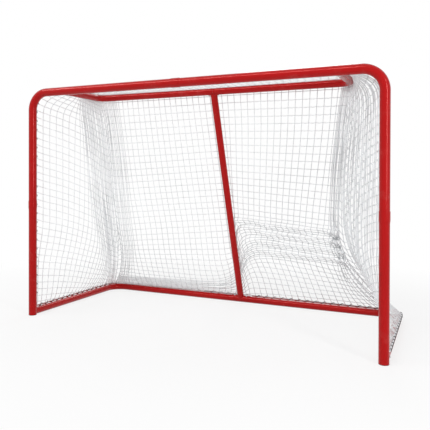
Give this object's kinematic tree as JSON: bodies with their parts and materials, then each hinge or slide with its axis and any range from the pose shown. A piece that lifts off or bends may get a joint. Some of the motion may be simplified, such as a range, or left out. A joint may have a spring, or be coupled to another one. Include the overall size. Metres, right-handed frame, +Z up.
{
  "type": "ice hockey goal net",
  "caption": "Red tubular steel ice hockey goal with a shallow top shelf, a sloping back brace and a white knotted net that fans out to a wide rear base bar.",
  "frame": {"origin": "on the ground, under the middle of the goal's outline", "axes": "+Z up, the open mouth faces -Y, +X to the right of someone standing behind the goal's mouth line and looking at the net from in front"},
  "size_m": [1.9212, 0.8704, 1.2664],
  "materials": {
    "red_paint": "gloss",
    "white_netting": "matte",
    "bare_steel": "satin",
    "zinc_screw": "satin",
    "nickel_button": "polished",
    "spring_steel": "satin",
    "black_plastic": "matte"
  },
  "bodies": {
    "goal_frame": {"left_upper_frame": "red_paint", "right_upper_frame": "red_paint", "left_lower_post": "red_paint", "right_lower_post": "red_paint", "left_foot_plug": "black_plastic", "right_foot_plug": "black_plastic", "left_base_bar": "red_paint", "right_base_bar": "red_paint", "left_shelf_bar": "red_paint", "right_shelf_bar": "red_paint", "back_brace": "red_paint", "left_foot_spigot": "bare_steel", "right_foot_spigot": "bare_steel", "left_shelf_spigot": "bare_steel", "right_shelf_spigot": "bare_steel", "base_splice_sleeve": "bare_steel", "shelf_splice_sleeve": "bare_steel", "base_saddle": "red_paint", "shelf_saddle": "red_paint", "base_splice_screws": "zinc_screw", "shelf_splice_screws": "zinc_screw", "foot_joint_screws": "zinc_screw", "arm_joint_screws": "zinc_screw", "left_post_rod": "red_paint", "right_post_rod": "red_paint", "left_corner_rod": "red_paint", "right_corner_rod": "red_paint", "left_crossbar_rod": "red_paint", "right_crossbar_rod": "red_paint", "left_base_rod": "red_paint", "right_base_rod": "red_paint", "left_shelf_rod": "red_paint", "right_shelf_rod": "red_paint", "top_net": "white_netting", "back_net": "white_netting", "left_side_net": "white_netting", "right_side_net": "white_netting", "left_post_spring": "spring_steel", "right_post_spring": "spring_steel", "crossbar_spring": "spring_steel", "brace_low_spring": "spring_steel", "brace_top_spring": "spring_steel"},
    "left_post_button_lock": {"left_post_button": "nickel_button"},
    "right_post_button_lock": {"right_post_button": "nickel_button"},
    "crossbar_button_lock": {"crossbar_button": "nickel_button"},
    "brace_low_button_lock": {"brace_low_button": "nickel_button"},
    "brace_top_button_lock": {"brace_top_button": "nickel_button"}
  },
  "joints": [
    {"name": "left_post_button_press", "type": "slide", "parent": "goal_frame", "child": "left_post_button_lock", "axis": [0, -1, 0], "range_m": [0, 0.0045], "stiffness_N_per_m": 1500, "springref_m": -0.006, "deforming": ["left_post_spring"]},
    {"name": "right_post_button_press", "type": "slide", "parent": "goal_frame", "child": "right_post_button_lock", "axis": [0, -1, 0], "range_m": [0, 0.0045], "stiffness_N_per_m": 1500, "springref_m": -0.006, "deforming": ["right_post_spring"]},
    {"name": "crossbar_button_press", "type": "slide", "parent": "goal_frame", "child": "crossbar_button_lock", "axis": [0, -1, 0], "range_m": [0, 0.0045], "stiffness_N_per_m": 1500, "springref_m": -0.006, "deforming": ["crossbar_spring"]},
    {"name": "brace_low_button_press", "type": "slide", "parent": "goal_frame", "child": "brace_low_button_lock", "axis": [-1, 0, 0], "range_m": [0, 0.0045], "stiffness_N_per_m": 1500, "springref_m": -0.006, "deforming": ["brace_low_spring"]},
    {"name": "brace_top_button_press", "type": "slide", "parent": "goal_frame", "child": "brace_top_button_lock", "axis": [-1, 0, 0], "range_m": [0, 0.0045], "stiffness_N_per_m": 1500, "springref_m": -0.006, "deforming": ["brace_top_spring"]}
  ]
}
